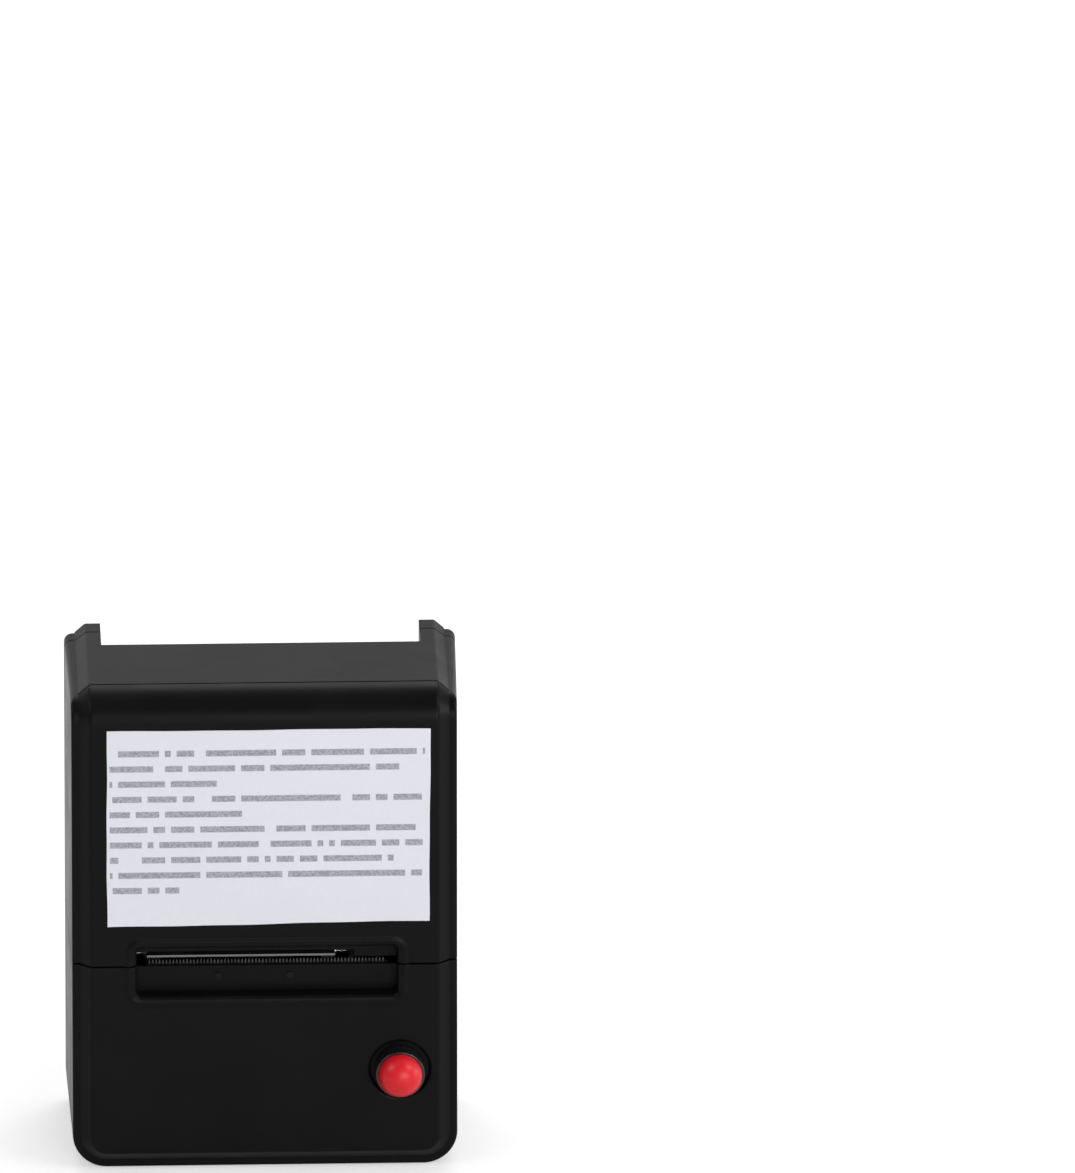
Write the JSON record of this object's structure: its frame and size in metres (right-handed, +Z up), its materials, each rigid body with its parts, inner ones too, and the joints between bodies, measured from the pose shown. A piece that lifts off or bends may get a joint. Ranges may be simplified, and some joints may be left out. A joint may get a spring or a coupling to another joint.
{
  "type": "queue ticket printer",
  "caption": "Upright black counter-top ticket printer with a hinged lid over the paper roll, a toothed exit slot and a domed red push-button.",
  "frame": {"origin": "middle of the flat end that it stands on", "axes": "+X to the right seen from the front, +Y to the rear, +Z up"},
  "size_m": [0.114, 0.0696, 0.149],
  "materials": {
    "black_case": "satin moulded ABS with a slight gloss",
    "label_paper": "plain white sticker paper",
    "black_steel": "black oxidised spring steel",
    "steel": "rolled stainless sheet",
    "bright_steel": "ground and polished shafts and pins",
    "zinc_steel": "zinc-plated screws and motor can",
    "aluminium": "plain milled aluminium",
    "ceramic": "glazed alumina strip",
    "platen_rubber": "ground silicone rubber",
    "acetal": "moulded natural acetal",
    "inner_black": "plain moulded ABS, unpolished",
    "thermal_paper": "wound thermal paper",
    "core_board": "wound card tube",
    "board_green": "solder-masked glass laminate",
    "chip_black": "moulded epoxy",
    "can_foil": "sleeved aluminium cans",
    "header_white": "moulded nylon",
    "port_black": "moulded PBT",
    "port_steel": "nickel-plated pressed steel",
    "button_red": "glossy moulded red plastic",
    "button_black": "moulded black plastic",
    "ribbon_film": "polyimide flat lead",
    "lead_sheath": "PVC-sheathed hook-up leads",
    "foot_rubber": "moulded rubber",
    "brass": "turned or stamped brass"
  },
  "bodies": {
    "case": {"lower_shell": "black_case", "rear_shell": "black_case", "tear_bar": "black_steel", "tear_bar_rivets": "black_steel", "paper_guide": "steel", "idler_axle": "bright_steel", "motor": "zinc_steel", "motor_screws": "zinc_steel", "mechanism_frame": "steel", "mechanism_screws": "zinc_steel", "head_rod": "bright_steel", "head_springs": "bright_steel", "paper_sensor": "chip_black", "head_ribbon": "ribbon_film", "chassis": "inner_black", "chassis_screws": "zinc_steel", "hinge_pins": "bright_steel", "main_board": "board_green", "board_screws": "zinc_steel", "board_chips": "chip_black", "capacitors": "can_foil", "board_connectors": "header_white", "dc_jack": "port_black", "usb_socket": "port_steel", "button_collar": "button_black", "button_seal": "foot_rubber", "button_nut": "button_black", "button_spring": "bright_steel", "switch_block": "inner_black", "switch_terminals": "brass", "button_leads": "lead_sheath", "case_screws": "zinc_steel", "feet": "foot_rubber"},
    "lid": {"lid_shell": "black_case", "label": "label_paper", "platen_bracket": "steel", "bracket_screws": "zinc_steel", "platen_bushes": "acetal"},
    "platen": {"platen_roller": "platen_rubber", "platen_shaft": "bright_steel", "platen_gear": "acetal"},
    "idler": {"idler_gear": "acetal"},
    "rotor": {"motor_pinion": "brass"},
    "head": {"head_sink": "aluminium", "head_ceramic": "ceramic"},
    "roll": {"paper_roll": "thermal_paper", "paper_core": "core_board"},
    "button": {"button_cap": "button_red", "button_stem": "header_white", "button_clip": "bright_steel"}
  },
  "joints": [
    {"name": "lid_hinge", "type": "hinge", "parent": "case", "child": "lid", "pos_m": [0, 0.009, 0.1422], "axis": [-1, 0, 0], "range_deg": [0, 75]},
    {"name": "button_press", "type": "slide", "parent": "case", "child": "button", "axis": [0, 1, 0], "range_m": [0, 0.0025], "stiffness_N_per_m": 500, "springref_m": -0.003, "deforming": ["button_spring"]},
    {"name": "rotor_spin", "type": "hinge", "parent": "case", "child": "rotor", "pos_m": [0, 0.00377, 0.06341], "axis": [1, 0, 0], "continuous": true},
    {"name": "idler_spin", "type": "hinge", "parent": "case", "child": "idler", "pos_m": [0, -0.00751, 0.06751], "axis": [1, 0, 0], "continuous": true},
    {"name": "platen_spin", "type": "hinge", "parent": "lid", "child": "platen", "pos_m": [0, -0.016, 0.0705], "axis": [1, 0, 0], "continuous": true},
    {"name": "head_tilt", "type": "hinge", "parent": "case", "child": "head", "pos_m": [0, -0.0084, 0.0596], "axis": [-1, 0, 0], "range_deg": [0, 2], "stiffness_Nm_per_rad": 2, "springref_deg": -11.46, "deforming": ["head_springs"]},
    {"name": "roll_spin", "type": "hinge", "parent": "case", "child": "roll", "pos_m": [0, -0.0035, 0.102], "axis": [1, 0, 0], "continuous": true}
  ],
  "couplings": [
    {"joint": "rotor_spin", "follows": "platen_spin", "ratio": 4.7143},
    {"joint": "idler_spin", "follows": "platen_spin", "ratio": -1.5714}
  ]
}
